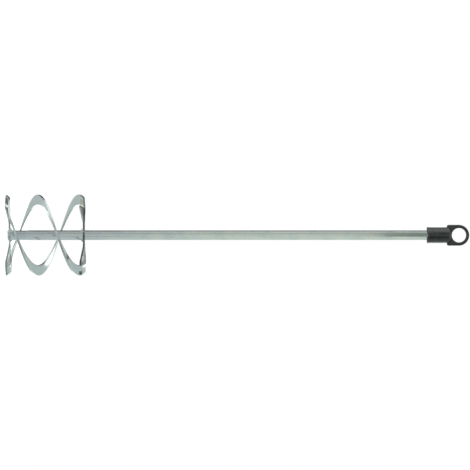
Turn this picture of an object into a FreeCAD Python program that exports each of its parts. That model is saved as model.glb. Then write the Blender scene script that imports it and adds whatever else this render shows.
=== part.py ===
import FreeCAD, Part
import math
import os

os.makedirs("parts", exist_ok=True)

# A paint mixer for a drill: a long hexagonal shank with a welded mixing head at its foot and a
# pull-off plastic cap with a hanging eye on the end that goes in the chuck.
# Frame: the tool's axis is +Z, the cap is at the top, and z = 0 is the lowest point of the head.
# All sizes are in millimetres and all angles in degrees.

# shank: bright hexagonal bar
tool_length = 496.0          # lowest point of the head to the end of the shank
shank_flats = 10.0           # across flats
shank_corner_radius = 0.7    # rounding of the bar's six long corners
shank_end_chamfer = 1.2      # both ends, taken off the corners
shank_foot = 1.3             # how far the bar stands out below the lower strap

# head: two strip flights between two identical straps
head_diameter = 91.0
strip_width = 12.0
sheet_depth = 2.1            # along Z; the sloping sheet is then 2.0 thick square to its face
pitch = 92.0                 # rise of a flight per turn
strap_turn = 15.0            # direction of both straps, counted from +X about +Z
strap_width = 12.0
strap_boss_wall = 4.25       # round boss outside the corners of the bar
strap_hub_blend = 6.0        # concave radius between boss and arm
strap_dip = 1.55             # how far a strap's tips lie below its boss
strap_ease = 0.2             # share of an arm over which its twist sets in, and dies out
strap_flat_margin = 0.7      # a strap stays flat this far past the toe of its hub welds
strap_end_margin = 1.5       # the twist is complete this far inside the strap's end
fit_gap = 0.05               # strap bore to bar, and strap end to flight

# a flight leaves the lower strap at the full slope, lies level for a while, then climbs again
level_start = (16.5, 20.5)   # angles from the flight's foot where the slope fades out
level_end = (42.0, 63.5)     # angles where the slope comes back

# welds
hub_weld_leg = 2.8
hub_weld_length = 5.0
hub_weld_swell = 0.62        # middle of the bead's face, as a share of its leg: over 0.5 is convex
corner_weld_width = 4.6
corner_weld_height = 0.7
corner_weld_shift = 1.3      # middle of the bead outside the joint, where it lies on the flight
corner_weld_end = 2.2        # bare edge left at each end of a corner weld
corner_weld_root = 0.4       # how far its blank reaches into the sheets before they cut it

# cap: moulded plastic sleeve with a flat hanging eye
cap_overlap = 23.6           # how much of the shank the cap covers
cap_fit_gap = 0.10           # socket to bar, each side
cap_end_gap = 0.4            # above the end of the bar
sleeve_wall = 3.0            # outside the corners of the socket
sleeve_top_past_bar = 3.2    # the sleeve's closed end runs on past the bar's end
sleeve_top_rounding = 2.6
rim_stand = 0.3              # how far the rolled rim stands out from the sleeve
rim_height = 2.6
rim_rounding = 1.1
scoop_radius = 12.5          # shallow scoops in the front and back of the rim
scoop_depth = 1.3
plate_thickness = 6.0
plate_below_bar_end = 1.0    # where the plate's shoulders start, below the bar's end
plate_corner = 1.6           # rounding of the shoulders in the plate's outline
plate_edge_rounding = 1.1
eye_radius = 8.0
eye_web = 4.1                # plastic between the socket and the eye
eye_side = 3.7               # plastic on each side of the eye
eye_rim = 3.5                # material outside the eye at the top

# construction: none of these shows in the finished shapes
cut_spare = 1.0              # how far a blank or a cutting body runs past what it meets
flight_spare = 4.0           # angle by which a flight's blank overruns each strap
flight_steps = 160           # points along a flight's edges
sheet_columns = 49           # points along and across a strap's sheet
sheet_rows = 13
touch = 1e-6                 # lengths closer than this are equal
near = 0.01                  # an edge lies on a radius if it is closer than this

# worked out from the values above
shank_corners = shank_flats / math.cos(math.radians(30))
socket_flats = shank_flats + 2 * cap_fit_gap
outer_radius = head_diameter / 2
inner_radius = outer_radius - strip_width
boss_radius = shank_corners / 2 + strap_boss_wall
strap_flat_radius = shank_flats / 2 + hub_weld_leg + strap_flat_margin
sleeve_radius = socket_flats / 2 / math.cos(math.radians(30)) + sleeve_wall
rim_radius = sleeve_radius + rim_stand
plate_width = 2 * (eye_radius + eye_side)
eye_height = tool_length + cap_end_gap + eye_web + eye_radius
strap_half_angle = math.degrees(math.asin(strap_width / 2 / inner_radius))
rise_per_degree = pitch / 360
origin = FreeCAD.Vector(0, 0, 0)
up = FreeCAD.Vector(0, 0, 1)


def save(shape, name):
    shape.exportStep("parts/" + name + ".step")
    print(name, "solids", len(shape.Solids), "volume", round(shape.Volume, 1))


def vector(x, y, z):
    return FreeCAD.Vector(x, y, z)


def turned(shape, angle):
    copy = shape.copy()
    copy.rotate(origin, up, angle)
    return copy


def hex_prism(across_flats, bottom, top):
    """Six flats, one of them facing +X."""
    corner = across_flats / 2 / math.cos(math.radians(30))
    angles = [math.radians(30 + 60 * k) for k in range(7)]
    points = [vector(corner * math.cos(a), corner * math.sin(a), bottom) for a in angles]
    face = Part.Face(Part.makePolygon(points))
    return face.extrude(vector(0, 0, top - bottom))


def upright_edges(shape, near_radius):
    found = []
    for edge in shape.Edges:
        first, last = edge.Vertexes[0].Point, edge.Vertexes[-1].Point
        upright = math.hypot(first.x - last.x, first.y - last.y) < touch
        if upright and abs(math.hypot(first.x, first.y) - near_radius) < near:
            found.append(edge)
    return found


# ---- the sheet's height

def faded(angle, start, end):
    """Integral of a slope that grows evenly from 0 at start to 1 at end."""
    if angle <= start:
        return 0.0
    if angle < end:
        return (angle - start) ** 2 / (2 * (end - start))
    return angle - (start + end) / 2


def flight_height(angle):
    """Middle of a flight's sheet, at this angle from the flight's foot."""
    climbed = angle - faded(angle, *level_start) + faded(angle, *level_end)
    return sheet_depth / 2 + rise_per_degree * climbed


def eased(value):
    """From 0 to 1, straight but for a soft start and end."""
    value = min(max(value, 0.0), 1.0)
    if value > 0.5:
        return 1 - eased(1 - value)
    if value < strap_ease:
        return value ** 2 / (2 * strap_ease * (1 - strap_ease))
    return (value - strap_ease / 2) / (1 - strap_ease)


lower_centre_angle = strap_half_angle
upper_centre_angle = strap_half_angle + 360
lower_boss_height = flight_height(lower_centre_angle) + strap_dip
upper_boss_height = flight_height(upper_centre_angle) + strap_dip


def strap_height(along, across, centre_angle):
    """Middle of a strap's sheet: flat at the boss, meeting the flight's slope at both ends."""
    boss = flight_height(centre_angle) + strap_dip
    side = 1 if along >= 0 else -1
    tip_angle = math.degrees(math.asin(side * across / inner_radius))
    tip = flight_height(centre_angle + tip_angle)
    full = inner_radius - strap_end_margin
    share = eased((abs(along) - strap_flat_radius) / (full - strap_flat_radius))
    return boss + share * (tip - boss)


# ---- pieces of the head

def make_shank():
    bottom = lower_boss_height - sheet_depth / 2 - shank_foot
    bar = hex_prism(shank_flats, bottom, tool_length)
    corner = shank_corners / 2
    bar = bar.makeFillet(shank_corner_radius, upright_edges(bar, corner))
    turning = Part.makeCylinder(corner, tool_length - bottom, vector(0, 0, bottom))
    ends = [e for e in turning.Edges if isinstance(e.Curve, Part.Circle)]
    turning = turning.makeChamfer(shank_end_chamfer / 2, ends)
    return turned(bar.common(turning), strap_turn)


def make_flight():
    """One flight, with its foot at the end of the strap that points along +X."""
    first = -flight_spare
    last = 360 + 2 * strap_half_angle + flight_spare
    step = (last - first) / flight_steps
    angles = [first + step * k for k in range(flight_steps + 1)]
    edges = []
    for radius in (inner_radius, outer_radius):
        points = []
        for angle in angles:
            place = math.radians(angle - strap_half_angle)
            bottom = flight_height(angle) - sheet_depth / 2
            points.append(vector(radius * math.cos(place), radius * math.sin(place), bottom))
        curve = Part.BSplineCurve()
        curve.interpolate(Points=points, Parameters=angles)
        edges.append(curve.toShape())
    strip = Part.makeRuledSurface(edges[0], edges[1]).extrude(vector(0, 0, sheet_depth))
    if strip.Volume < 0:
        strip.reverse()
    strip = strip.cut(trimmer(-1, lower_centre_angle))
    return strip.cut(trimmer(1, upper_centre_angle))


def trimmer(side, centre_angle):
    """A block beyond one long edge of a strap, which cuts a flight's end flush with it."""
    reach = strip_width + sheet_depth + cut_spare
    height = flight_height(centre_angle) - reach
    low = strap_width / 2 if side > 0 else -strap_width / 2 - reach
    corner = vector(inner_radius - reach, low, height)
    return Part.makeBox(2 * reach + strip_width, reach, 2 * reach, corner)


def sheet_patch(half_length, half_width, start, centre_angle, bottom, depth):
    """A slab that follows the strap's sheet, from start to half_length along it."""
    grid = []
    for i in range(sheet_columns):
        along = start + (half_length - start) * i / (sheet_columns - 1)
        line = []
        for j in range(sheet_rows):
            across = -half_width + 2 * half_width * j / (sheet_rows - 1)
            height = strap_height(along, across, centre_angle) + bottom
            line.append(vector(along, across, height))
        grid.append(line)
    surface = Part.BSplineSurface()
    surface.interpolate(grid)
    slab = surface.toShape().extrude(vector(0, 0, depth))
    if slab.Volume < 0:
        slab.reverse()
    return slab


def strap_outline(height):
    """The strap seen along the axis, as a tall prism with the bar's bore through it."""
    tall = 2 * (pitch * strap_half_angle / 180 + strap_dip + sheet_depth + cut_spare)
    base = height - tall / 2
    end_radius = inner_radius - fit_gap
    arms = Part.makeBox(2 * outer_radius, strap_width, tall,
                        vector(-outer_radius, -strap_width / 2, base))
    arms = arms.common(Part.makeCylinder(end_radius, tall, vector(0, 0, base)))
    outline = arms.fuse(Part.makeCylinder(boss_radius, tall, vector(0, 0, base)))
    outline = outline.removeSplitter()
    outline = outline.makeFillet(strap_hub_blend, upright_edges(outline, boss_radius))
    return outline.cut(hex_prism(shank_flats + 2 * fit_gap, base, base + tall))


def make_strap(centre_angle):
    boss = flight_height(centre_angle) + strap_dip
    reach = inner_radius + cut_spare
    slab = sheet_patch(reach, boss_radius + cut_spare, -reach, centre_angle,
                       -sheet_depth / 2, sheet_depth)
    return slab.common(strap_outline(boss))


# ---- welds

def make_hub_weld(boss_height, side):
    """Fillet weld between a strap's boss and the flat of the bar that faces along the strap."""
    face = boss_height + side * sheet_depth / 2
    flat = shank_flats / 2
    toe = vector(flat + hub_weld_leg, -hub_weld_length / 2, face)
    root = vector(flat, -hub_weld_length / 2, face)
    crown = vector(flat, -hub_weld_length / 2, face + side * hub_weld_leg)
    swell = hub_weld_leg * hub_weld_swell
    middle = vector(flat + swell, -hub_weld_length / 2, face + side * swell)
    outline = Part.Wire([Part.makeLine(root, toe), Part.Arc(toe, middle, crown).toShape(),
                         Part.makeLine(crown, root)])
    bead = Part.Face(outline).extrude(vector(0, hub_weld_length, 0))
    if bead.Volume < 0:
        bead.reverse()
    return bead


def make_corner_weld(centre_angle, side, strap, flight):
    """Low bead on the head's outside, across the joint of a strap's end and a flight."""
    middle = inner_radius - fit_gap / 2 + corner_weld_shift
    start = middle - corner_weld_width / 2
    end = middle + corner_weld_width / 2
    half_length = strap_width / 2 - corner_weld_end
    depth = corner_weld_height + corner_weld_root
    bottom = side * sheet_depth / 2 + (-corner_weld_root if side > 0 else -corner_weld_height)
    slab = sheet_patch(end, half_length, start, centre_angle, bottom, depth)
    return slab.cut(strap).cut(flight)


# ---- cap

def make_cap():
    mouth = tool_length - cap_overlap
    sleeve_top = tool_length + sleeve_top_past_bar
    sleeve = Part.makeCylinder(sleeve_radius, sleeve_top - mouth, vector(0, 0, mouth))
    top_edge = [e for e in sleeve.Edges
                if isinstance(e.Curve, Part.Circle) and e.CenterOfMass.z > sleeve_top - near]
    sleeve = sleeve.makeFillet(sleeve_top_rounding, top_edge)
    rim = Part.makeCylinder(rim_radius, rim_height, vector(0, 0, mouth))
    rim_edges = [e for e in rim.Edges if isinstance(e.Curve, Part.Circle)]
    rim = rim.makeFillet(rim_rounding, rim_edges)
    body = sleeve.fuse(rim).fuse(eye_plate())
    socket = hex_prism(socket_flats, mouth - cut_spare, tool_length + cap_end_gap)
    body = body.cut(turned(socket, strap_turn))
    front = -rim_radius - cut_spare
    eye = Part.makeCylinder(eye_radius, -2 * front, vector(0, front, eye_height),
                            vector(0, 1, 0))
    body = body.cut(eye)
    scoop_height = mouth + scoop_depth - scoop_radius
    scoop = Part.makeCylinder(scoop_radius, -2 * front, vector(0, front, scoop_height),
                              vector(0, 1, 0))
    return body.cut(scoop)


def eye_plate():
    """The flat plate, seen from the front: square shoulders below, a half round above."""
    bottom = tool_length - plate_below_bar_end
    half = plate_width / 2
    end = eye_height + eye_radius + eye_rim
    spring = end - half
    front = -plate_thickness / 2
    side = plate_corner
    corner_mid = plate_corner * (1 - math.sqrt(0.5))
    outline = Part.Wire([
        Part.makeLine(vector(-half + side, front, bottom), vector(half - side, front, bottom)),
        Part.Arc(vector(half - side, front, bottom),
                 vector(half - corner_mid, front, bottom + corner_mid),
                 vector(half, front, bottom + side)).toShape(),
        Part.makeLine(vector(half, front, bottom + side), vector(half, front, spring)),
        Part.Arc(vector(half, front, spring), vector(0, front, end),
                 vector(-half, front, spring)).toShape(),
        Part.makeLine(vector(-half, front, spring), vector(-half, front, bottom + side)),
        Part.Arc(vector(-half, front, bottom + side),
                 vector(-half + corner_mid, front, bottom + corner_mid),
                 vector(-half + side, front, bottom)).toShape(),
    ])
    plate = Part.Face(outline).extrude(vector(0, plate_thickness, 0))
    if plate.Volume < 0:
        plate.reverse()
    rims = [e for e in plate.Edges
            if abs(abs(e.CenterOfMass.y) - plate_thickness / 2) < touch]
    return plate.makeFillet(plate_edge_rounding, rims)


# ---- the whole tool

save(make_shank(), "hex_shank")
save(make_cap(), "hanging_cap")

straps = {
    "lower": make_strap(lower_centre_angle),
    "upper": make_strap(upper_centre_angle),
}
for place, strap in straps.items():
    save(turned(strap, strap_turn), place + "_strap")

flight = make_flight()
for name, half_turn in (("front", 180), ("rear", 0)):
    save(turned(flight, strap_turn + half_turn), name + "_flight")

weld_sites = (
    ("lower", lower_centre_angle, lower_boss_height, 1),
    ("upper", upper_centre_angle, upper_boss_height, -1),
)
for place, centre_angle, boss_height, side in weld_sites:
    hub_weld = make_hub_weld(boss_height, side)
    corner_weld = make_corner_weld(centre_angle, -side, straps[place], flight)
    for name, half_turn in (("front", 180), ("rear", 0)):
        save(turned(hub_weld, strap_turn + half_turn), place + "_" + name + "_hub_weld")
        save(turned(corner_weld, strap_turn + half_turn), place + "_" + name + "_corner_weld")
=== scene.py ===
import math

import bmesh
import bpy
from mathutils import Matrix, Vector, noise


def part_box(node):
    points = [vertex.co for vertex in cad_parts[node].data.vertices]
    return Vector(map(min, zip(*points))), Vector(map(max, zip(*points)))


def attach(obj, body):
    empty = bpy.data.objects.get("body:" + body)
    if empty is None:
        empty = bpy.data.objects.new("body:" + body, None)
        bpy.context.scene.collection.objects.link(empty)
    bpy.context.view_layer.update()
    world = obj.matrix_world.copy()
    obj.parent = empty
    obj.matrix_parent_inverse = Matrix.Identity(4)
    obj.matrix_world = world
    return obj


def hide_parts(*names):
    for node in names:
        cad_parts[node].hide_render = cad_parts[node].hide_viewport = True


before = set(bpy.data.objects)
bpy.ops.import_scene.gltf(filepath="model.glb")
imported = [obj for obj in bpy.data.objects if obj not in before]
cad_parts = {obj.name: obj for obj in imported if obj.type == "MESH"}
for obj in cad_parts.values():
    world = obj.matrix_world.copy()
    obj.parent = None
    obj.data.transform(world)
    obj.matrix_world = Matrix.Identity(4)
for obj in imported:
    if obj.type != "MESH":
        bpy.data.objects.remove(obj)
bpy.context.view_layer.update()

mm = 0.001
scene = bpy.context.scene


# small helpers

noiseSpan = (0.3, 0.7)       # the part of a noise's range that most of its values lie in
noiseCore = (0.35, 0.65)
mergeDistance = 1e-6          # m, points nearer than this are one


def hexColour(code, alpha=1.0):
    # sRGB hex to the linear values that the shaders take
    parts = [int(code[i:i + 2], 16) / 255 for i in (1, 3, 5)]
    linear = [c / 12.92 if c <= 0.04045 else ((c + 0.055) / 1.055) ** 2.4 for c in parts]
    return (*linear, alpha)


def addNode(tree, kind, values=None, links=None, **settings):
    node = tree.nodes.new(kind)
    for name, value in settings.items():
        setattr(node, name, value)
    for name, value in (values or {}).items():
        node.inputs[name].default_value = value
    for name, source in (links or {}).items():
        tree.links.new(source, node.inputs[name])
    return node


def newMaterial(name, shaderValues):
    material = bpy.data.materials.new(name)
    material.use_nodes = True
    tree = material.node_tree
    tree.nodes.clear()
    shader = addNode(tree, "ShaderNodeBsdfPrincipled", shaderValues)
    addNode(tree, "ShaderNodeOutputMaterial", links={"Surface": shader.outputs["BSDF"]})
    return material, tree, shader


def smoothStep(value):
    value = min(max(value, 0.0), 1.0)
    return value * value * (3 - 2 * value)


def within(value, low, high, soft):
    # 1 between low and high, falling to 0 over the soft distance outside them
    return smoothStep((value - low) / soft + 1) * smoothStep((high - value) / soft + 1)


def wobble(place, size, seed):
    # smooth noise from -1 to 1, the same on every run
    return noise.noise(Vector(place) / size + Vector((seed, 2.7 * seed, -seed)))


def skin(sections, closedAlong=False, caps=True):
    # quads between neighbouring closed sections
    count = len(sections[0])
    points = [point for section in sections for point in section]
    faces = []
    rows = len(sections) if closedAlong else len(sections) - 1
    for i in range(rows):
        here, there = i * count, ((i + 1) % len(sections)) * count
        for j in range(count):
            k = (j + 1) % count
            faces.append((here + j, here + k, there + k, there + j))
    if caps and not closedAlong:
        faces.append(tuple(reversed(range(count))))
        last = (len(sections) - 1) * count
        faces.append(tuple(range(last, last + count)))
    return points, faces


def makePiece(name, points, faces, material, body, stands, turn=0.0, marks=None,
              smoothAngle=35):
    # points are in millimetres; the mesh is stored in metres in the frame
    spin = Matrix.Rotation(math.radians(turn), 3, "Z")
    mesh = bpy.data.meshes.new(name)
    mesh.from_pydata([spin @ Vector(p) * mm for p in points], [], faces)
    for label, values in (marks or {}).items():
        kind = "FLOAT_VECTOR" if len(values) and isinstance(values[0], tuple) else "FLOAT"
        layer = mesh.attributes.new(label, kind, "POINT")
        for item, value in zip(layer.data, values):
            if kind == "FLOAT":
                item.value = value
            else:
                item.vector = value
    tidy = bmesh.new()
    tidy.from_mesh(mesh)
    bmesh.ops.remove_doubles(tidy, verts=tidy.verts, dist=mergeDistance)
    bmesh.ops.recalc_face_normals(tidy, faces=tidy.faces)
    tidy.to_mesh(mesh)
    tidy.free()
    mesh.shade_smooth()
    mesh.set_sharp_from_angle(angle=math.radians(smoothAngle))
    piece = bpy.data.objects.new(name, mesh)
    scene.collection.objects.link(piece)
    piece.data.materials.append(material)
    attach(piece, body)
    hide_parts(*stands)
    return piece


# the sizes shared by the pieces of the head, in millimetres and degrees

tool = {
    "length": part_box("hex_shank")[1].z / mm,
    "foot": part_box("hex_shank")[0].z / mm,
    "flats": 10.0,
    "strapTurn": 15.0,
    "outerRadius": 45.5,
    "stripWidth": 12.0,
    "sheetDepth": 2.1,
    "pitch": 92.0,
    "strapWidth": 12.0,
    "strapDip": 1.55,
    "levelStart": (16.5, 20.5),
    "levelEnd": (42.0, 63.5),
}
innerRadius = tool["outerRadius"] - tool["stripWidth"]
halfAngle = math.degrees(math.asin(tool["strapWidth"] / 2 / innerRadius))
cornerRadius = tool["flats"] / 2 / math.cos(math.radians(30))


def faded(angle, start, end):
    if angle <= start:
        return 0.0
    if angle < end:
        return (angle - start) ** 2 / (2 * (end - start))
    return angle - (start + end) / 2


def flightHeight(angle):
    climbed = angle - faded(angle, *tool["levelStart"]) + faded(angle, *tool["levelEnd"])
    return tool["sheetDepth"] / 2 + tool["pitch"] / 360 * climbed


def hexRadius(angle, flats):
    # distance from the axis to the side of a hexagon with a flat facing angle 0
    within = (math.degrees(angle) + 30) % 60 - 30
    return flats / 2 / math.cos(math.radians(within))


# materials

zincBarLook = {
    "colour": "#d0d9d2",
    "tint": "#c8d2cc",
    "warmTint": "#d6dbd0",
    "roughness": (0.11, 0.19),
    "lineSpacing": 0.45,     # mm, drawing lines, drawn as coarse as they need to show
    "lineLength": 45.0,
    "cloudSize": 14.0,
    "headPaintedShade": "#e9e9f4",   # painted shade: the bar's colour darkens and cools towards the head
    "headPaintedShadeHeights": (50.0, 240.0),
    "lineShade": 0.86,       # how dark the drawing lines get
    "cloudStops": (0.36, 0.5, 0.66),
    "bump": 0.10,
    "bumpDepth": 0.05,
}


def makeZincBar(look):
    # Zinc-plated cold-drawn steel bar: a soft mirror, streaked along the bar by the die, with
    # the cloudy grey-green tint of the plating's passivation, and painted shade that darkens and
    # cools it towards the head.
    material, tree, shader = newMaterial("zincPlatedDrawnSteel", {"Metallic": 1.0})
    place = addNode(tree, "ShaderNodeTexCoord").outputs["Object"]
    across, along = 1 / (look["lineSpacing"] * mm), 1 / (look["lineLength"] * mm)
    stretched = addNode(tree, "ShaderNodeMapping", {"Scale": (across, across, along)},
                        {"Vector": place})
    lines = addNode(tree, "ShaderNodeTexNoise", {"Scale": 1.0, "Detail": 4.0, "Roughness": 0.6},
                    {"Vector": stretched.outputs["Vector"]})
    clouds = addNode(tree, "ShaderNodeTexNoise",
                     {"Scale": 1 / (look["cloudSize"] * mm), "Detail": 3.0},
                     {"Vector": place})
    cloudColour = addNode(tree, "ShaderNodeValToRGB", links={"Fac": clouds.outputs["Fac"]})
    ramp = cloudColour.color_ramp
    low, middle, high = look["cloudStops"]
    ramp.elements[0].position, ramp.elements[0].color = low, hexColour(look["tint"])
    ramp.elements[1].position, ramp.elements[1].color = high, hexColour(look["warmTint"])
    ramp.elements.new(middle).color = hexColour(look["colour"])
    shade = addNode(tree, "ShaderNodeMapRange",
                    {"From Min": noiseSpan[0], "From Max": noiseSpan[1],
                     "To Min": look["lineShade"]},
                    {"Value": lines.outputs["Fac"]})
    colour = addNode(tree, "ShaderNodeVectorMath",
                     links={0: cloudColour.outputs["Color"], 1: shade.outputs["Result"]},
                     operation="MULTIPLY")
    # painted shade: the bar's colour darkens and cools towards the head
    height = addNode(tree, "ShaderNodeSeparateXYZ", links={"Vector": place}).outputs["Z"]
    first, last = look["headPaintedShadeHeights"]
    away = addNode(tree, "ShaderNodeMapRange", {"From Min": first * mm, "From Max": last * mm},
                   {"Value": height})
    paintedShade = addNode(tree, "ShaderNodeMix", {"A": hexColour(look["headPaintedShade"]),
                                           "B": (1.0, 1.0, 1.0, 1.0)},
                   {"Factor": away.outputs["Result"]}, data_type="RGBA")
    toned = addNode(tree, "ShaderNodeVectorMath",
                    links={0: colour.outputs["Vector"], 1: paintedShade.outputs["Result"]},
                    operation="MULTIPLY")
    tree.links.new(toned.outputs["Vector"], shader.inputs["Base Color"])
    low, high = look["roughness"]
    rough = addNode(tree, "ShaderNodeMapRange",
                    {"From Min": noiseCore[0], "From Max": noiseCore[1],
                     "To Min": low, "To Max": high},
                    {"Value": lines.outputs["Fac"]})
    tree.links.new(rough.outputs["Result"], shader.inputs["Roughness"])
    bump = addNode(tree, "ShaderNodeBump",
                   {"Strength": look["bump"], "Distance": look["bumpDepth"] * mm},
                   {"Height": lines.outputs["Fac"]})
    tree.links.new(bump.outputs["Normal"], shader.inputs["Normal"])
    return material


zincStripLook = {
    "colour": "#d2dcda",
    "tint": "#c2cecc",
    "roughness": (0.08, 0.15),
    "rollSpacing": 0.5,      # mm, rolling lines along the strip
    "rollLength": 18.0,
    "cloudSize": 7.0,
    "edgeColour": "#bec8c5",
    "edgeRoughness": 0.28,
    "edgeShade": (0.6, 1.05),
    "shearSpacing": 0.35,    # mm, the vertical drag marks of the shear
    "shearStretch": 10.0,    # how much longer than wide the drag marks are
    # the zinc's colour under the marks, from untouched through straw heat tint to the greys and
    # near black that also serve as painted shade
    "heatTintAndShadeColours": ((0.0, "#ffffff"), (0.3, "#e2d6bd"), (0.5, "#a4a49e"), (0.7, "#787a79"),
                    (1.0, "#3c3e40")),
    "heatTintAndShadeRoughness": 0.22,
    "heatTintAndShadeUneven": 0.3,
    "bump": 0.06,
    "bumpDepth": 0.08,
}


def heatTintAndShadeAmount(tree, clouds, look):
    # the mesh's heat tint and painted shade, broken up by the clouds so that its border wanders
    meshHeatTintAndShade = addNode(tree, "ShaderNodeAttribute", attribute_name="heatTintAndShade").outputs["Fac"]
    uneven = addNode(tree, "ShaderNodeMapRange",
                     {"From Min": noiseSpan[0], "From Max": noiseSpan[1],
                      "To Min": 1 - look["heatTintAndShadeUneven"], "To Max": 1 + look["heatTintAndShadeUneven"]},
                     {"Value": clouds.outputs["Fac"]})
    return addNode(tree, "ShaderNodeMath", links={0: meshHeatTintAndShade, 1: uneven.outputs["Result"]},
                   operation="MULTIPLY", use_clamp=True).outputs["Value"]


def makeZincStrip(look):
    # Zinc-plated hot-rolled strip, sheared to width: a duller, cloudier mirror than the bar,
    # with greyer, scored edges where the blade tore through the sheet, and straw to brown
    # marks, partly heat tint near the welds and partly painted shade.
    material, tree, shader = newMaterial("zincPlatedRolledStrip", {"Metallic": 1.0})
    strip = addNode(tree, "ShaderNodeAttribute", attribute_name="strip").outputs["Vector"]
    edge = addNode(tree, "ShaderNodeAttribute", attribute_name="edge").outputs["Fac"]
    place = addNode(tree, "ShaderNodeTexCoord").outputs["Object"]
    across, along = 1 / (look["rollSpacing"] * mm), 1 / (look["rollLength"] * mm)
    rolled = addNode(tree, "ShaderNodeMapping", {"Scale": (along, across, across)},
                     {"Vector": strip})
    lines = addNode(tree, "ShaderNodeTexNoise", {"Scale": 1.0, "Detail": 4.0, "Roughness": 0.65},
                    {"Vector": rolled.outputs["Vector"]})
    clouds = addNode(tree, "ShaderNodeTexNoise",
                     {"Scale": 1 / (look["cloudSize"] * mm), "Detail": 4.0, "Roughness": 0.6},
                     {"Vector": place})
    shear = 1 / (look["shearSpacing"] * mm)
    drawn = shear / look["shearStretch"]
    torn = addNode(tree, "ShaderNodeMapping", {"Scale": (shear, drawn, drawn)},
                   {"Vector": strip})
    drag = addNode(tree, "ShaderNodeTexNoise", {"Scale": 1.0, "Detail": 3.0},
                   {"Vector": torn.outputs["Vector"]})
    face = addNode(tree, "ShaderNodeMix", {"A": hexColour(look["tint"]),
                                           "B": hexColour(look["colour"])},
                   {"Factor": clouds.outputs["Fac"]}, data_type="RGBA")
    darkest, lightest = look["edgeShade"]
    edgeShade = addNode(tree, "ShaderNodeMapRange",
                        {"From Min": noiseSpan[0], "From Max": noiseSpan[1],
                         "To Min": darkest, "To Max": lightest},
                        {"Value": drag.outputs["Fac"]})
    edgeColour = addNode(tree, "ShaderNodeVectorMath", {0: hexColour(look["edgeColour"])[:3]},
                         {1: edgeShade.outputs["Result"]}, operation="MULTIPLY")
    colour = addNode(tree, "ShaderNodeMix", links={"Factor": edge, "A": face.outputs["Result"],
                                                   "B": edgeColour.outputs["Vector"]},
                     data_type="RGBA")
    # heat tint near the welds and painted shade elsewhere, darkening the strip's colour and
    # dulling it
    heatTintAndShade = heatTintAndShadeAmount(tree, clouds, look)
    marks = addNode(tree, "ShaderNodeValToRGB", links={"Fac": heatTintAndShade})
    ramp = marks.color_ramp
    while len(ramp.elements) < len(look["heatTintAndShadeColours"]):
        ramp.elements.new(0.5)
    for stop, (position, code) in zip(ramp.elements, look["heatTintAndShadeColours"]):
        stop.position, stop.color = position, hexColour(code)
    marked = addNode(tree, "ShaderNodeVectorMath", links={
        0: colour.outputs["Result"], 1: marks.outputs["Color"]}, operation="MULTIPLY")
    tree.links.new(marked.outputs["Vector"], shader.inputs["Base Color"])
    low, high = look["roughness"]
    faceRough = addNode(tree, "ShaderNodeMapRange",
                        {"From Min": noiseCore[0], "From Max": noiseCore[1],
                         "To Min": low, "To Max": high},
                        {"Value": lines.outputs["Fac"]})
    rough = addNode(tree, "ShaderNodeMix", {"B": look["edgeRoughness"]},
                    {"Factor": edge, "A": faceRough.outputs["Result"]}, data_type="FLOAT")
    dulled = addNode(tree, "ShaderNodeMath", {1: look["heatTintAndShadeRoughness"]},
                     {0: heatTintAndShade, 2: rough.outputs["Result"]}, operation="MULTIPLY_ADD")
    tree.links.new(dulled.outputs["Value"], shader.inputs["Roughness"])
    relief = addNode(tree, "ShaderNodeMix", links={"Factor": edge, "A": lines.outputs["Fac"],
                                                   "B": drag.outputs["Fac"]},
                     data_type="FLOAT")
    bump = addNode(tree, "ShaderNodeBump",
                   {"Strength": look["bump"], "Distance": look["bumpDepth"] * mm},
                   {"Height": relief.outputs["Result"]})
    tree.links.new(bump.outputs["Normal"], shader.inputs["Normal"])
    return material


weldLook = {
    "colour": "#e2e8e5",
    "dark": "#9ca5a1",
    "roughness": (0.2, 0.42),
    "grain": 0.8,            # mm, slag pits and spatter
    "bump": 0.35,
    "bumpDepth": 0.15,
}


def makeWeld(look):
    # Zinc over weld metal: bright on the crests of the ripples, dull and pitted between them.
    material, tree, shader = newMaterial("zincPlatedWeldBead", {"Metallic": 1.0})
    place = addNode(tree, "ShaderNodeTexCoord").outputs["Object"]
    pits = addNode(tree, "ShaderNodeTexNoise",
                   {"Scale": 1 / (look["grain"] * mm), "Detail": 5.0, "Roughness": 0.6},
                   {"Vector": place})
    colour = addNode(tree, "ShaderNodeMix", {"A": hexColour(look["dark"]),
                                             "B": hexColour(look["colour"])},
                     {"Factor": pits.outputs["Fac"]}, data_type="RGBA")
    tree.links.new(colour.outputs["Result"], shader.inputs["Base Color"])
    low, high = look["roughness"]
    rough = addNode(tree, "ShaderNodeMapRange",
                    {"From Min": noiseCore[0], "From Max": noiseCore[1],
                     "To Min": high, "To Max": low},
                    {"Value": pits.outputs["Fac"]})
    tree.links.new(rough.outputs["Result"], shader.inputs["Roughness"])
    bump = addNode(tree, "ShaderNodeBump",
                   {"Strength": look["bump"], "Distance": look["bumpDepth"] * mm},
                   {"Height": pits.outputs["Fac"]})
    tree.links.new(bump.outputs["Normal"], shader.inputs["Normal"])
    return material


plasticLook = {
    "colour": "#1b1e1e",
    "worn": "#2a2d2e",
    "roughness": (0.24, 0.36),
    "grain": 0.35,           # mm, the fine spark texture of the mould
    "flowSize": 9.0,         # mm, faint flow marks
    "flowDistortion": 0.8,
    "wornSpan": (0.45, 0.8),       # the part of the flow marks that is worn, and how much
    "wornShare": 0.8,
    "ior": 1.50,
    "bump": 0.10,
    "bumpDepth": 0.05,
}


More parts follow.
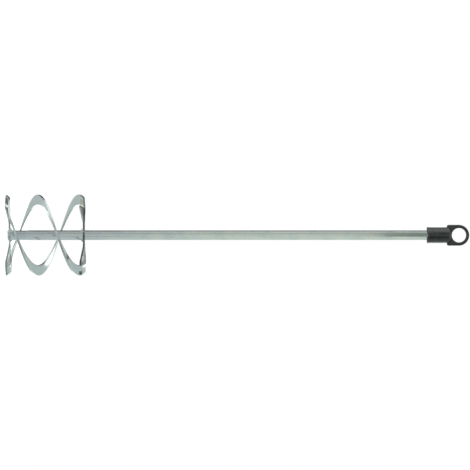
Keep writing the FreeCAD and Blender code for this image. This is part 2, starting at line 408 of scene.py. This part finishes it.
def makePlastic(look):
    # Moulded polyethylene, black: deep grey with a waxy half gloss, a fine mould grain and
    # slightly paler patches where it has been handled.
    material, tree, shader = newMaterial("mouldedBlackPolyethylene", {"IOR": look["ior"]})
    place = addNode(tree, "ShaderNodeTexCoord").outputs["Object"]
    grain = addNode(tree, "ShaderNodeTexNoise", {"Scale": 1 / (look["grain"] * mm), "Detail": 2.0},
                    {"Vector": place})
    flow = addNode(tree, "ShaderNodeTexNoise",
                   {"Scale": 1 / (look["flowSize"] * mm), "Detail": 4.0,
                    "Distortion": look["flowDistortion"]},
                   {"Vector": place})
    first, last = look["wornSpan"]
    patches = addNode(tree, "ShaderNodeMapRange",
                      {"From Min": first, "From Max": last, "To Max": look["wornShare"]},
                      {"Value": flow.outputs["Fac"]})
    colour = addNode(tree, "ShaderNodeMix", {"A": hexColour(look["colour"]),
                                             "B": hexColour(look["worn"])},
                     {"Factor": patches.outputs["Result"]}, data_type="RGBA")
    tree.links.new(colour.outputs["Result"], shader.inputs["Base Color"])
    low, high = look["roughness"]
    rough = addNode(tree, "ShaderNodeMapRange",
                    {"From Min": noiseSpan[0], "From Max": noiseSpan[1],
                     "To Min": low, "To Max": high},
                    {"Value": flow.outputs["Fac"]})
    tree.links.new(rough.outputs["Result"], shader.inputs["Roughness"])
    bump = addNode(tree, "ShaderNodeBump",
                   {"Strength": look["bump"], "Distance": look["bumpDepth"] * mm},
                   {"Height": grain.outputs["Fac"]})
    tree.links.new(bump.outputs["Normal"], shader.inputs["Normal"])
    return material


zincBar = makeZincBar(zincBarLook)
zincStrip = makeZincStrip(zincStripLook)
weldMetal = makeWeld(weldLook)
blackPlastic = makePlastic(plasticLook)
print("materials made")


# hexagonal shank

shank = {
    "cornerRounding": 0.7,
    "endChamfer": 0.6,
    "crown": 0.08,           # drawing leaves each flat very slightly rounded
    "arcSteps": 5,
    "flatSteps": 8,
    "rows": 60,
    "firstRow": 1.0,         # mm from either end
    "sliver": 0.01,          # keeps the chamfer's rows apart
}


def shankProfile():
    # the bar's section, corner arcs and crowned flats
    rounding = shank["cornerRounding"]
    sunk = shank["crown"] / math.cos(math.radians(30))
    centreDistance = cornerRadius - sunk - rounding / math.cos(math.radians(30))
    outline = []
    for k in range(6):
        middle = math.radians(30 + 60 * k)
        centre = Vector((math.cos(middle), math.sin(middle))) * centreDistance
        for i in range(shank["arcSteps"] + 1):
            angle = middle + math.radians(-30 + 60 * i / shank["arcSteps"])
            outline.append(centre + Vector((math.cos(angle), math.sin(angle))) * rounding)
        start = outline[-1]
        nextMiddle = math.radians(30 + 60 * (k + 1))
        nextCentre = Vector((math.cos(nextMiddle), math.sin(nextMiddle))) * centreDistance
        facing = math.radians(60 * (k + 1))
        outward = Vector((math.cos(facing), math.sin(facing)))
        end = nextCentre + outward * rounding
        for i in range(1, shank["flatSteps"]):
            share = i / shank["flatSteps"]
            lift = shank["crown"] * (1 - (2 * share - 1) ** 2)
            outline.append(start.lerp(end, share) + outward * lift)
    return outline


def makeShank():
    outline = shankProfile()
    endRadius = cornerRadius - shank["endChamfer"]
    bottom, top = tool["foot"], tool["length"]
    first, last = bottom + shank["firstRow"], top - shank["firstRow"]
    heights = [bottom, bottom]
    heights += [first + (last - first) * i / shank["rows"] for i in range(shank["rows"] + 1)]
    heights += [top, top]
    sections = []
    for row, height in enumerate(heights):
        section = []
        for place in outline:
            radius = place.length
            cut = max(0.0, radius - endRadius)
            if row in (0, len(heights) - 1):   # the end face
                point = place * (min(radius, endRadius) / radius)
                section.append((point.x, point.y, height))
            elif row == 1:
                section.append((place.x, place.y, bottom + cut + shank["sliver"]))
            elif row == len(heights) - 2:
                section.append((place.x, place.y, top - cut - shank["sliver"]))
            else:
                section.append((place.x, place.y, height))
        sections.append(section)
    points, faces = skin(sections)
    return makePiece("hexShank", points, faces, zincBar, "mixer", ["hex_shank"],
                     tool["strapTurn"], smoothAngle=25)


makeShank()
print("shank made")


# helical flights

flight = {
    "sections": 260,
    "innerRounding": 0.75,   # bending on edge upsets and rounds the inner edge
    "outerRounding": 0.35,
    "cornerSteps": 3,
    "acrossSteps": 8,
    "flatEdge": 0.02,        # a point this near a face counts as on it
    "cornerMark": 0.4,       # how far the scored edge shows on the rounded corners
    "waviness": 0.03,        # hand-fed forming leaves the sheet slightly uneven
    "waveLength": 22.0,
    "evenShare": 0.06,       # the ends stay even over this share of the strip
    # dark patch near the lower and the upper end: its place out from the axis and from the end
    "patchRadius": ((36.5, 43.0), (41.0, 44.0)),
    "patchReach": ((0.0, 9.0), (12.0, 19.0)),
    "patchSoft": (1.2, 2.0),
    "patchDarkness": 0.92,
    "strawRadius": (33.5, 41.0),   # paler mark on the other face, at the upper end
    "strawLength": 8.0,
    "strawSoft": (1.0, 2.0),
    "strawHeat": 0.33,
    "paintedShadeAngles": (20.0, 62.0),  # painted shade: where the outer face is darkened and dulled, round from the lower end
    "paintedShadeSoft": 6.0,
    "paintedShadeAmount": 0.66,
    # a dish left by the forming: its middle and spread round the flight, and its slope
    "dish": {"front_flight": (186.0, 26.0, 0.055), "rear_flight": (186.0, 26.0, 0.0)},
}


def stripSection():
    # (distance across the strip, offset from its middle, edge mark), once round the section
    half = tool["sheetDepth"] / 2
    width = tool["stripWidth"]
    corners = (
        (width, half, flight["outerRounding"], 90),
        (0.0, half, flight["innerRounding"], 180),
        (0.0, -half, flight["innerRounding"], 270),
        (width, -half, flight["outerRounding"], 0),
    )
    outline = []
    for index, (x, y, radius, end) in enumerate(corners):
        cx = x - radius if x > 0 else x + radius
        cy = y - radius if y > 0 else y + radius
        arc = []
        for i in range(flight["cornerSteps"] + 1):
            angle = math.radians(end - 90 + 90 * i / flight["cornerSteps"])
            arc.append((cx + radius * math.cos(angle), cy + radius * math.sin(angle)))
        level = half - flight["flatEdge"]
        outline += [(a, b, 1.0 if abs(b) < level else flight["cornerMark"]) for a, b in arc]
        if index in (0, 2):   # steps across the upper and the lower face
            near, far = flight["innerRounding"], width - flight["outerRounding"]
            for i in range(1, flight["acrossSteps"]):
                share = i / flight["acrossSteps"]
                across = far + (near - far) * share if index == 0 else near + (far - near) * share
                outline.append((across, half if index == 0 else -half, 0.0))
    return outline


def flightHeatTintAndShade(radius, offset, distance, angle):
    # heat tint and painted shade of a point at this distance along the strip from its nearer end
    upperEnd = angle > 180
    outward = offset if upperEnd else -offset
    if outward > tool["sheetDepth"] / 2 - flight["flatEdge"] / 2:
        # painted shade: a band of the outer face is darkened, round from the lower end
        dulled = within(angle, *flight["paintedShadeAngles"], flight["paintedShadeSoft"])
        softOut, softAlong = flight["patchSoft"]
        patch = within(radius, *flight["patchRadius"][upperEnd], softOut)
        patch *= within(distance, *flight["patchReach"][upperEnd], softAlong)
        return max(flight["paintedShadeAmount"] * dulled, flight["patchDarkness"] * patch)
    if outward < 0 and upperEnd:
        softOut, softAlong = flight["strawSoft"]
        patch = within(radius, *flight["strawRadius"], softOut)
        return flight["strawHeat"] * patch * within(distance, 0, flight["strawLength"], softAlong)
    return 0.0


def makeFlight(name, node, halfTurn, seed):
    outline = stripSection()
    sections, strip, edges, heatTintAndShadeMarks = [], [], [], []
    count = flight["sections"]
    middle, spread, slope = flight["dish"][node]
    meanRadius = innerRadius + tool["stripWidth"] / 2
    for i in range(count + 1):
        share = i / count
        section = []
        for across, offset, mark in outline:
            radius = innerRadius + across
            flush = math.degrees(math.asin(tool["strapWidth"] / 2 / radius))
            angle = -flush + share * (360 + 2 * flush)
            turned = math.radians(angle)
            height = flightHeight(angle + halfAngle) + offset
            fromEnd = min(share, 1 - share)
            ends = smoothStep(fromEnd / flight["evenShare"])
            place = (radius * math.cos(turned), radius * math.sin(turned), height)
            height += flight["waviness"] * ends * wobble(place, flight["waveLength"], seed)
            dished = math.exp(-((angle - middle) / spread) ** 2)
            height += slope * dished * (across - tool["stripWidth"] / 2)
            section.append((place[0], place[1], height))
            strip.append((turned * meanRadius * mm, across * mm, offset * mm))
            edges.append(1.0 if i in (0, count) else mark)
            distance = fromEnd * math.radians(360 + 2 * flush) * radius
            heatTintAndShadeMarks.append(0.0 if i in (0, count) else flightHeatTintAndShade(radius, offset, distance, angle))
        sections.append(section)
    points, faces = skin(sections)
    return makePiece(name, points, faces, zincStrip, "mixer", [node],
                     tool["strapTurn"] + halfTurn,
                     {"strip": strip, "edge": edges, "heatTintAndShade": heatTintAndShadeMarks}, 40)


makeFlight("frontFlight", "front_flight", 180, 3.1)
makeFlight("rearFlight", "rear_flight", 0, 8.6)
print("flights made")


# straps

strap = {
    "bossRadius": cornerRadius + 4.25,
    "blend": 6.0,
    "flatRadius": 8.5,
    "endMargin": 1.5,
    "ease": 0.2,             # share of an arm over which the twist sets in, and dies out
    "gap": 0.05,
    "edgeRounding": 0.3,
    "cornerSteps": 3,
    "radialSteps": 26,
    "bendSteps": 8,          # along each curve of the outline
    "sideSteps": 16,         # along its straight sides
    "upperEdgePaintedShade": 0.58,   # painted shade: the upper strap is darkened grey all along its edges and faces
    "upperFacePaintedShade": 0.45,
    "tipPaintedShade": 0.74,         # painted shade: every strap is darkened towards its welded tips, and its zinc dulled there
    "tipRadius": (20.0, 28.0),
    "edgePaintedShadeRadius": (24.0, 29.5),   # painted shade on one edge of each arm of the lower strap
    "edgePaintedShadeSoft": 1.2,
    "edgePaintedShadeAmount": 0.9,
}


def easedTwist(share):
    share = min(max(share, 0.0), 1.0)
    if share > 0.5:
        return 1 - easedTwist(1 - share)
    if share < strap["ease"]:
        return share ** 2 / (2 * strap["ease"] * (1 - strap["ease"]))
    return (share - strap["ease"] / 2) / (1 - strap["ease"])


def strapHeight(along, across, centreAngle):
    boss = flightHeight(centreAngle) + tool["strapDip"]
    side = 1 if along >= 0 else -1
    across = min(max(across, -innerRadius), innerRadius)
    tipAngle = math.degrees(math.asin(side * across / innerRadius))
    tip = flightHeight(centreAngle + tipAngle)
    full = innerRadius - strap["endMargin"]
    share = easedTwist((abs(along) - strap["flatRadius"]) / (full - strap["flatRadius"]))
    return boss + share * (tip - boss)


def strapQuarter():
    # from the middle of the strap's end round to the side of the boss
    half, end, boss = tool["strapWidth"] / 2, innerRadius - strap["gap"], strap["bossRadius"]
    blend, bends, sides = strap["blend"], strap["bendSteps"], strap["sideSteps"]
    blendCentre = Vector((math.sqrt((boss + blend) ** 2 - (half + blend) ** 2), half + blend))
    corner = math.asin(half / end)
    points = [Vector((math.cos(a), math.sin(a))) * end
              for a in [corner * i / bends for i in range(bends + 1)]]
    start = end * math.cos(corner)
    for i in range(1, sides + 1):
        points.append(Vector((start + (blendCentre.x - start) * i / sides, half)))
    last = math.atan2(-blendCentre.y, -blendCentre.x)
    for i in range(1, bends + 1):
        angle = -math.pi / 2 + (last + math.pi / 2) * i / bends
        points.append(blendCentre + Vector((math.cos(angle), math.sin(angle))) * blend)
    first = math.atan2(blendCentre.y, blendCentre.x)
    for i in range(1, bends + 1):
        angle = first + (math.pi / 2 - first) * i / bends
        points.append(Vector((math.cos(angle), math.sin(angle))) * boss)
    return points


def strapOutline():
    quarter = strapQuarter()
    half = quarter + [Vector((-p.x, p.y)) for p in reversed(quarter[:-1])]
    return half + [Vector((-p.x, -p.y)) for p in half[1:-1]]


def strapPaintedShade(place, onEdge, upper):
    # painted shade on the straps: their edges and faces are darkened, more towards the welded tips
    radius = place.length
    if onEdge and upper:
        return strap["upperEdgePaintedShade"]
    if onEdge:
        edgeShaded = within(radius, *strap["edgePaintedShadeRadius"], strap["edgePaintedShadeSoft"])
        return strap["edgePaintedShadeAmount"] * edgeShaded if place.x * place.y > 0 else 0.0
    first, last = strap["tipRadius"]
    base = strap["upperFacePaintedShade"] if upper else 0.0
    return base + (strap["tipPaintedShade"] - base) * smoothStep((radius - first) / (last - first))


def makeStrap(name, node, centreAngle):
    outline = strapOutline()
    thick = tool["sheetDepth"] / 2
    rounding = strap["edgeRounding"]
    sections, strip, edges, heatTintAndShadeMarks = [], [], [], []
    for i, place in enumerate(outline):
        before, after = outline[i - 1], outline[(i + 1) % len(outline)]
        run = (after - before).normalized()
        outward = Vector((run.y, -run.x))
        angle = math.atan2(place.y, place.x)
        bore = hexRadius(angle, tool["flats"] + 2 * strap["gap"])
        inner = Vector((math.cos(angle), math.sin(angle))) * bore
        rim = place - outward * rounding
        upper = []
        for j in range(strap["radialSteps"] + 1):
            upper.append((inner.lerp(rim, j / strap["radialSteps"]), thick, 0.0))
        for j in range(1, strap["cornerSteps"] + 1):
            bend = math.pi / 2 * j / strap["cornerSteps"]
            upper.append((rim + outward * rounding * math.sin(bend),
                          thick - rounding * (1 - math.cos(bend)), 1.0))
        lower = [(p, -lift, mark) for p, lift, mark in reversed(upper)]
        section = []
        for p, lift, mark in upper + lower:
            section.append((p.x, p.y, strapHeight(p.x, p.y, centreAngle) + lift))
            strip.append((p.x * mm, p.y * mm, lift * mm))
            edges.append(mark)
            heatTintAndShadeMarks.append(strapPaintedShade(p, mark > 0, centreAngle > 180))
        sections.append(section)
    points, faces = skin(sections, closedAlong=True)
    return makePiece(name, points, faces, zincStrip, "mixer", [node],
                     tool["strapTurn"], {"strip": strip, "edge": edges, "heatTintAndShade": heatTintAndShadeMarks}, 40)


makeStrap("lowerStrap", "lower_strap", halfAngle)
makeStrap("upperStrap", "upper_strap", halfAngle + 360)
print("straps made")


# welds

weld = {
    "hubLeg": 2.8,
    "hubLength": 5.0,
    "hubSwell": 0.16,
    "hubEndShare": 0.35,     # size of the bead at its ends, as a share of its full size
    "hubUneven": (0.10, 1.6),      # share of the leg, and over what length
    "hubBow": 0.35,          # how far the ripples bow
    "sink": 0.05,            # depth of the bead's foot below the surface that it lies on
    "rippleSpacing": 0.9,
    "rippleHeight": 0.10,
    "rippleWander": (0.2, 2.3),
    "cornerWidth": 4.4,
    "cornerHeight": 0.62,
    "cornerShift": 1.3,      # towards the flight
    "cornerLength": 7.6,
    "cornerEndShare": 0.25,
    "cornerUneven": (0.12, 2.2),
    "cornerBow": 0.4,
    "cornerSink": 0.03,
    "rootDepth": 0.25,
    "sections": 44,
    "faceSteps": 10,
}


def ripple(distance, seed):
    # overlapping crescents left by each step of the arc
    wander, pace = weld["rippleWander"]
    phase = (distance + wander * math.sin(pace * distance + seed)) / weld["rippleSpacing"]
    return weld["rippleHeight"] * (abs(math.sin(math.pi * phase)) - 0.5)


def makeHubWeld(name, node, centreAngle, side, halfTurn, seed):
    boss = flightHeight(centreAngle) + tool["strapDip"]
    face = boss + side * (tool["sheetDepth"] / 2 - weld["sink"])
    flat = tool["flats"] / 2 - weld["sink"]
    least, (uneven, length) = weld["hubEndShare"], weld["hubUneven"]
    sections = []
    for i in range(weld["sections"] + 1):
        share = i / weld["sections"]
        distance = (share - 0.5) * weld["hubLength"]
        ends = math.sqrt(max(0.0, 1 - (2 * share - 1) ** 6))
        leg = weld["hubLeg"] * (least + (1 - least) * ends)
        leg *= 1 + uneven * wobble((distance, seed, 0), length, seed)
        section = [(flat, distance, face)]
        for j in range(weld["faceSteps"] + 1):
            turn = math.pi / 2 * j / weld["faceSteps"]
            swell = 1 + weld["hubSwell"] * math.sin(2 * turn)
            reach = leg / (math.cos(turn) + math.sin(turn)) * swell
            bowed = distance + weld["hubBow"] * math.sin(2 * turn)
            reach += ripple(bowed, seed) * math.sin(2 * turn)
            section.append((flat + reach * math.cos(turn), distance,
                            face + side * reach * math.sin(turn)))
        sections.append(section)
    points, faces = skin(sections)
    return makePiece(name, points, faces, weldMetal, "mixer", [node],
                     tool["strapTurn"] + halfTurn, smoothAngle=50)


def jointHeight(along, across, centreAngle):
    # middle of the sheet round the joint of a strap and a flight
    radius = max(math.hypot(along, across), innerRadius)
    return flightHeight(centreAngle + math.degrees(math.asin(across / radius)))


def makeCornerWeld(name, node, centreAngle, side, halfTurn, seed):
    middle = innerRadius + weld["cornerShift"]
    least, (uneven, length) = weld["cornerEndShare"], weld["cornerUneven"]
    half = tool["sheetDepth"] / 2
    sections = []
    for i in range(weld["sections"] + 1):
        share = i / weld["sections"]
        distance = (share - 0.5) * weld["cornerLength"]
        ends = math.sqrt(max(0.0, 1 - (2 * share - 1) ** 4))
        width = weld["cornerWidth"] / 2 * (least + (1 - least) * ends)
        width *= 1 + uneven * wobble((distance, 0, seed), length, seed)
        section = []
        for j in range(weld["faceSteps"] + 1):
            sweep = -1 + 2 * j / weld["faceSteps"]
            along, rise = middle + sweep * width, 1 - sweep ** 2
            crown = weld["cornerHeight"] * rise * ends
            crown += ripple(distance + weld["cornerBow"] * rise, seed) * rise
            height = jointHeight(along, distance, centreAngle)
            height += side * (half - weld["cornerSink"] + crown)
            section.append((along, distance, height))
        for j in (weld["faceSteps"] - 1, 1):   # the root, inside the sheet
            along = middle + (-1 + 2 * j / weld["faceSteps"]) * width
            height = jointHeight(along, distance, centreAngle)
            section.append((along, distance, height + side * (half - weld["rootDepth"])))
        sections.append(section)
    points, faces = skin(sections)
    return makePiece(name, points, faces, weldMetal, "mixer", [node],
                     tool["strapTurn"] + halfTurn, smoothAngle=50)


for place, centreAngle, side in (("lower", halfAngle, 1), ("upper", halfAngle + 360, -1)):
    for label, halfTurn in (("front", 180), ("rear", 0)):
        seed = centreAngle * 0.01 + halfTurn * 0.013 + 1.7   # another for each bead
        stem = place + label.capitalize()
        makeHubWeld(stem + "HubWeld", f"{place}_{label}_hub_weld", centreAngle, side,
                    halfTurn, seed)
        makeCornerWeld(stem + "CornerWeld", f"{place}_{label}_corner_weld", centreAngle, -side,
                       halfTurn, seed)
print("welds made")


# hanging cap

cap = {
    "overlap": 23.6,
    "fitGap": 0.10,
    "endGap": 0.4,
    "sleeveWall": 3.0,
    "sleevePastBar": 3.2,
    "topRounding": 2.6,
    "rimStand": 0.3,
    "rimHeight": 2.6,
    "rimRounding": 1.1,
    "scoopRadius": 12.5,
    "scoopDepth": 1.3,
    "plateThickness": 6.0,
    "plateBelowBarEnd": 1.0,
    "plateCorner": 1.6,
    "plateRounding": 1.1,
    "eyeRadius": 8.0,
    "eyeWeb": 4.1,
    "eyeSide": 3.7,
    "eyeRim": 3.5,
    "eyeRounding": 0.9,
    "rimLead": 0.2,          # from the rim's rounding to the plain sleeve
    "scoopReach": 6.0,       # how far up the sleeve the scoops are eased out
    "around": 96,
    "plateSteps": 160,
    "roundSteps": 5,
    "searchRadius": 60.0,    # beyond the plate's outline
    "searchSteps": 40,
    "mergeDistance": 1e-4,
    "voxel": 0.32,
    "easing": (0.5, 4),      # strength and rounds of the smoothing after the remesh
}


def scoopLift(x):
    # how far the scoops in the rim raise its edge at this distance from the middle
    radius = cap["scoopRadius"]
    if abs(x) >= radius:
        return 0.0
    return max(0.0, cap["scoopDepth"] - radius + math.sqrt(radius * radius - x * x))


def arcPoints(centre, radius, start, end, steps):
    angles = [math.radians(start + (end - start) * i / steps) for i in range(steps + 1)]
    return [(centre[0] + radius * math.cos(a), centre[1] + radius * math.sin(a)) for a in angles]


def makeSleeve():
    mouth, top = tool["length"] - cap["overlap"], tool["length"] + cap["sleevePastBar"]
    socket = tool["flats"] + 2 * cap["fitGap"]
    wall = socket / 2 / math.cos(math.radians(30)) + cap["sleeveWall"]
    rim, rimHeight, soft = wall + cap["rimStand"], cap["rimHeight"], cap["rimRounding"]
    rounding = cap["topRounding"]
    outer = arcPoints((rim - soft, mouth + soft), soft, -90, 0, 6)
    outer += arcPoints((rim - soft, mouth + rimHeight - soft), soft, 0, 50, 4)
    outer.append((wall, mouth + rimHeight + cap["rimLead"]))
    outer.append((wall, (mouth + top) / 2))
    outer += arcPoints((wall - rounding, top - rounding), rounding, 0, 90, 8)
    outer.append((0.0, top))
    sections = []
    for i in range(cap["around"]):
        angle = 2 * math.pi * i / cap["around"]
        bore = hexRadius(angle - math.radians(tool["strapTurn"]), socket)
        section = [(0.0, 0.0, tool["length"] + cap["endGap"])]
        for radius, height in [(bore, tool["length"] + cap["endGap"]),
                               (bore, mouth + cap["scoopReach"]), (bore, mouth)] + outer:
            x, y = radius * math.cos(angle), radius * math.sin(angle)
            near = 1 - smoothStep((height - mouth) / cap["scoopReach"])
            section.append((x, y, height + near * scoopLift(x)))
        sections.append(section)
    return skin(sections, closedAlong=True)


def plateEdge(angle):
    # the plate's outline, as a distance from the middle of the eye
    half = cap["eyeRadius"] + cap["eyeSide"]
    eye = tool["length"] + cap["endGap"] + cap["eyeWeb"] + cap["eyeRadius"]
    bottom = tool["length"] - cap["plateBelowBarEnd"] - eye
    spring = cap["eyeRadius"] + cap["eyeRim"] - half
    corner = cap["plateCorner"]
    heading = Vector((math.cos(angle), math.sin(angle)))
    low, high = 0.0, cap["searchRadius"]
    for _ in range(cap["searchSteps"]):   # halve the interval until the edge is found
        middle = (low + high) / 2
        x, z = abs(heading.x * middle), heading.y * middle
        if z > spring:
            inside = math.hypot(x, z - spring) <= half
        elif x > half - corner and z < bottom + corner:
            inside = math.hypot(x - half + corner, z - bottom - corner) <= corner
        else:
            inside = x <= half and z >= bottom
        low, high = (middle, high) if inside else (low, middle)
    return low, eye


def makePlate():
    steps, turns = cap["plateSteps"], cap["roundSteps"]
    half, soft, eyeSoft = cap["plateThickness"] / 2, cap["plateRounding"], cap["eyeRounding"]
    sections = []
    for i in range(steps):
        angle = 2 * math.pi * i / steps
        outer, eye = plateEdge(angle)
        inner = cap["eyeRadius"]
        loop = [(outer - soft + a, b) for a, b in
                arcPoints((0, half - soft), soft, 90, 0, turns)
                + arcPoints((0, soft - half), soft, 0, -90, turns)]
        loop += [(inner + eyeSoft + a, b) for a, b in
                 arcPoints((0, eyeSoft - half), eyeSoft, -90, -180, turns)
                 + arcPoints((0, half - eyeSoft), eyeSoft, 180, 90, turns)]
        sections.append([(r * math.cos(angle), y, eye + r * math.sin(angle)) for r, y in loop])
    return skin(sections, closedAlong=True)


def solidFrom(name, points, faces):
    mesh = bpy.data.meshes.new(name)
    mesh.from_pydata([Vector(p) for p in points], [], faces)
    work = bmesh.new()
    work.from_mesh(mesh)
    bmesh.ops.remove_doubles(work, verts=work.verts, dist=cap["mergeDistance"])
    bmesh.ops.recalc_face_normals(work, faces=work.faces)
    work.to_mesh(mesh)
    work.free()
    solid = bpy.data.objects.new(name, mesh)
    scene.collection.objects.link(solid)
    return solid


def meshAfterModifiers(solid):
    bpy.context.view_layer.update()
    evaluated = solid.evaluated_get(bpy.context.evaluated_depsgraph_get())
    return bpy.data.meshes.new_from_object(evaluated)


def makeCap():
    # sleeve and plate are joined, remeshed and eased, so that they meet in a moulded fillet
    sleeve = solidFrom("capSleeveBlank", *makeSleeve())
    plate = solidFrom("capPlateBlank", *makePlate())
    union = sleeve.modifiers.new("join", "BOOLEAN")
    union.operation, union.object, union.solver = "UNION", plate, "EXACT"
    remesh = sleeve.modifiers.new("remesh", "REMESH")
    remesh.mode, remesh.voxel_size = "VOXEL", cap["voxel"]
    ease = sleeve.modifiers.new("ease", "SMOOTH")
    ease.factor, ease.iterations = cap["easing"]
    result = meshAfterModifiers(sleeve)
    points = [tuple(v.co) for v in result.vertices]
    faces = [tuple(p.vertices) for p in result.polygons]
    for blank in (sleeve, plate):
        bpy.data.objects.remove(blank)
    return makePiece("hangingCap", points, faces, blackPlastic, "cap", ["hanging_cap"],
                     smoothAngle=180)


makeCap()
print("cap made")


# floor, light and camera

studio = {
    "floorHeight": -0.5,     # mm, just under the head
    "floorSize": 1.6,        # m across
    "floorColour": "#f6f6f4",
    "floorGlow": 0.6,        # a light table: keeps the floor's far edge as pale as the backdrop
    "background": "#ffffff",
    # light round the tool's axis: degrees from the camera's side, up over the top, round the
    # back and under; then its colour and its strength
    "ring": (
        (0, "#f4faf8", 1.08),
        (20, "#f4faf8", 0.94),
        (40, "#f4faf8", 0.50),
        (48, "#ffffff", 1.8),
        (114, "#ffffff", 1.8),
        (124, "#dfe8e4", 0.10),
        (156, "#dfe8e4", 0.12),
        (163, "#eef6f6", 0.68),
        (187.5, "#eef6f6", 0.72),
        (188.5, "#ffffff", 2.4),
        (228, "#ffffff", 2.4),
        (240, "#f0f8f6", 1.0),
        (300, "#f0f8f6", 0.84),
        (330, "#e8f2ee", 0.62),
    ),
    # cards round the tool: first and last angle round its axis, first and last height, colour
    "cards": (
        ("darkCardByCap", -52, -8, 437, 640, "#161918"),
        ("greyCardByCap", 8, 36, 437, 600, "#7d8380"),
        ("darkCardByHead", -44, -7, 45, 118, "#1c201f"),
        ("darkCardBehind", 118, 159, -60, 120, "#1c201f"),
    ),
    "cardDistance": 0.6,     # m
    "ringPeak": 2.4,
    "endColour": "#f0f4f4",
    "endStrength": 0.8,
    "endSpan": (0.75, 0.95),       # how upright a ray is when it starts to see the ends' light
    "viewWidth": 526.4,      # mm across the picture
    "viewCentre": (-0.3, 257.7),
    "cameraDistance": 7.0,
    "sightLimit": 50.0,
    "sensor": 36.0,
}


def makeFloor():
    size, height = studio["floorSize"] / 2, studio["floorHeight"] * mm
    mesh = bpy.data.meshes.new("studioFloor")
    corners = [(-size, -size, height), (size, -size, height), (size, size, height),
               (-size, size, height)]
    mesh.from_pydata(corners, [], [(0, 1, 2, 3)])
    floor = bpy.data.objects.new("studioFloor", mesh)
    scene.collection.objects.link(floor)
    glow = hexColour(studio["floorColour"])
    material = newMaterial("paintedFloor", {
        "Roughness": 0.9, "Base Color": glow, "Emission Color": glow,
        "Emission Strength": studio["floorGlow"]})[0]
    mesh.materials.append(material)
    floor.visible_glossy = False


def makeCards():
    # cards that the metal and the plastic mirror, out of the camera's sight
    distance = studio["cardDistance"]
    for name, first, last, low, high, code in studio["cards"]:
        material = newMaterial(name + "Flock", {
            "Roughness": 1.0, "Base Color": hexColour(code), "IOR": 1.0})[0]
        corners = []
        for angle, height in ((first, low), (last, low), (last, high), (first, high)):
            turn = math.radians(angle)
            corners.append((-distance * math.sin(turn), -distance * math.cos(turn), height * mm))
        mesh = bpy.data.meshes.new(name)
        mesh.from_pydata(corners, [], [(0, 1, 2, 3)])
        mesh.materials.append(material)
        card = bpy.data.objects.new(name, mesh)
        scene.collection.objects.link(card)
        card.visible_camera = False
        card.visible_shadow = False
        card.visible_diffuse = False


def makeWorld():
    # long softboxes and dark flags, parallel to the tool, as a ramp round its axis
    world = bpy.data.worlds.new("studioWorld")
    world.use_nodes = True
    tree = world.node_tree
    tree.nodes.clear()
    axes = addNode(tree, "ShaderNodeSeparateXYZ", links={
        "Vector": addNode(tree, "ShaderNodeTexCoord").outputs["Generated"]})
    around = addNode(tree, "ShaderNodeMath", links={0: axes.outputs["X"], 1: axes.outputs["Y"]},
                     operation="ARCTAN2")
    turn = addNode(tree, "ShaderNodeMapRange", {"From Min": -math.pi, "From Max": math.pi},
                   {"Value": around.outputs["Value"]})
    softboxes = addNode(tree, "ShaderNodeValToRGB", links={"Fac": turn.outputs["Result"]})
    ramp = softboxes.color_ramp
    ring = studio["ring"] + ((360, *studio["ring"][0][1:]),)
    while len(ramp.elements) < len(ring):
        ramp.elements.new(0.5)
    for stop, (angle, colour, strength) in zip(ramp.elements, ring):
        stop.position = angle / 360
        share = strength / studio["ringPeak"]
        stop.color = [c * share for c in hexColour(colour)[:3]] + [1.0]
    lighting = addNode(tree, "ShaderNodeBackground", {"Strength": studio["ringPeak"]},
                       {"Color": softboxes.outputs["Color"]})
    ends = addNode(tree, "ShaderNodeBackground", {"Color": hexColour(studio["endColour"]),
                                                  "Strength": studio["endStrength"]})
    upright = addNode(tree, "ShaderNodeMath", links={0: axes.outputs["Z"]}, operation="ABSOLUTE")
    first, last = studio["endSpan"]
    share = addNode(tree, "ShaderNodeMapRange", {"From Min": first, "From Max": last},
                    {"Value": upright.outputs["Value"]}, interpolation_type="SMOOTHSTEP")
    allRound = addNode(tree, "ShaderNodeMixShader", links={0: share.outputs["Result"],
                                                           1: lighting.outputs["Background"],
                                                           2: ends.outputs["Background"]})
    seen = addNode(tree, "ShaderNodeBackground", {"Color": hexColour(studio["background"])})
    ray = addNode(tree, "ShaderNodeLightPath")
    both = addNode(tree, "ShaderNodeMixShader", links={0: ray.outputs["Is Camera Ray"],
                                                       1: allRound.outputs["Shader"],
                                                       2: seen.outputs["Background"]})
    addNode(tree, "ShaderNodeOutputWorld", links={"Surface": both.outputs["Shader"]})
    scene.world = world


def makeCamera():
    # looks along +Y with the tool lying across the picture, head to the left
    lens = bpy.data.cameras.new("camera")
    lens.sensor_width = studio["sensor"]
    lens.lens = studio["sensor"] * studio["cameraDistance"] / (studio["viewWidth"] * mm)
    lens.clip_end = studio["sightLimit"]
    camera = bpy.data.objects.new("camera", lens)
    x, z = studio["viewCentre"]
    camera.location = (x * mm, -studio["cameraDistance"], z * mm)
    right, upward, back = Vector((0, 0, 1)), Vector((-1, 0, 0)), Vector((0, -1, 0))
    camera.rotation_mode = "QUATERNION"
    camera.rotation_quaternion = Matrix((right, upward, back)).transposed().to_quaternion()
    scene.collection.objects.link(camera)
    scene.camera = camera


makeFloor()
makeCards()
makeWorld()
makeCamera()
scene.view_settings.view_transform = "Standard"
print("studio made")
